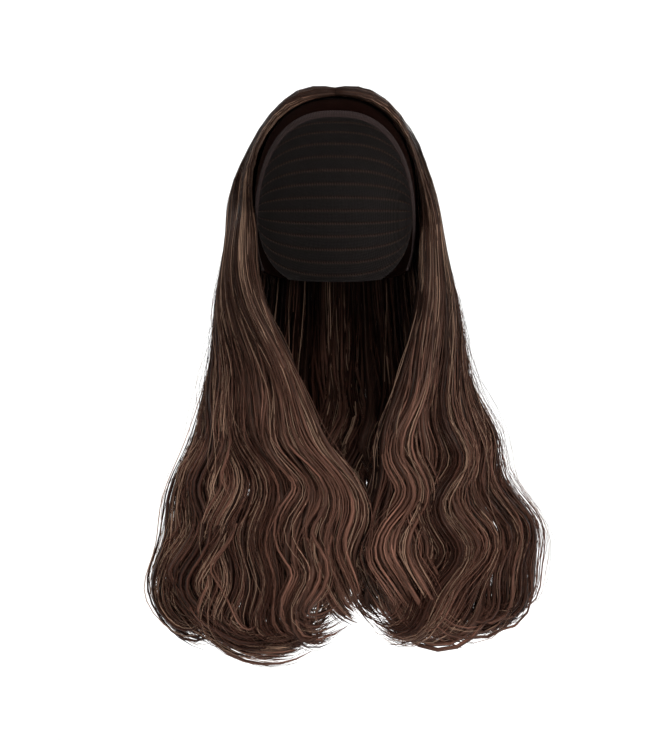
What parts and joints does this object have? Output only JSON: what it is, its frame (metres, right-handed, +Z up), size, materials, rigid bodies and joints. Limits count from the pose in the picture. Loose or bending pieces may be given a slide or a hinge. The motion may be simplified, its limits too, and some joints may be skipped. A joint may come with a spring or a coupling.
{
  "type": "half wig on a head band",
  "caption": "Half wig of long dark brown hair with soft waves, sewn to a stretch cap behind a black velvet head band with a ribbed knitted front edge.",
  "frame": {"origin": "top of the hollow, where the crown of the wearer's head carries the cap", "axes": "+Z up, the wearer's face looks along -Y, +X is on the right in a view of the face"},
  "size_m": [0.3243, 0.2562, 0.4873],
  "materials": {
    "hair_fibre": "satin fibre",
    "black_velvet": "short pile",
    "ribbed_knit": "ribbed knit",
    "cap_net": "stretch net"
  },
  "bodies": {
    "root": {"ribbed_edge": "ribbed_knit", "velvet_band": "black_velvet", "wig_cap": "cap_net", "crown_hair": "hair_fibre", "lock_left_1": "hair_fibre", "lock_left_2": "hair_fibre", "lock_left_3": "hair_fibre", "lock_left_4": "hair_fibre", "lock_left_5": "hair_fibre", "lock_right_1": "hair_fibre", "lock_right_2": "hair_fibre", "lock_right_3": "hair_fibre", "lock_right_4": "hair_fibre", "lock_right_5": "hair_fibre", "lock_back_1": "hair_fibre", "lock_back_2": "hair_fibre", "lock_back_3": "hair_fibre", "lock_back_4": "hair_fibre", "lock_back_5": "hair_fibre", "lock_back_6": "hair_fibre", "lock_back_7": "hair_fibre"}
  },
  "joints": []
}
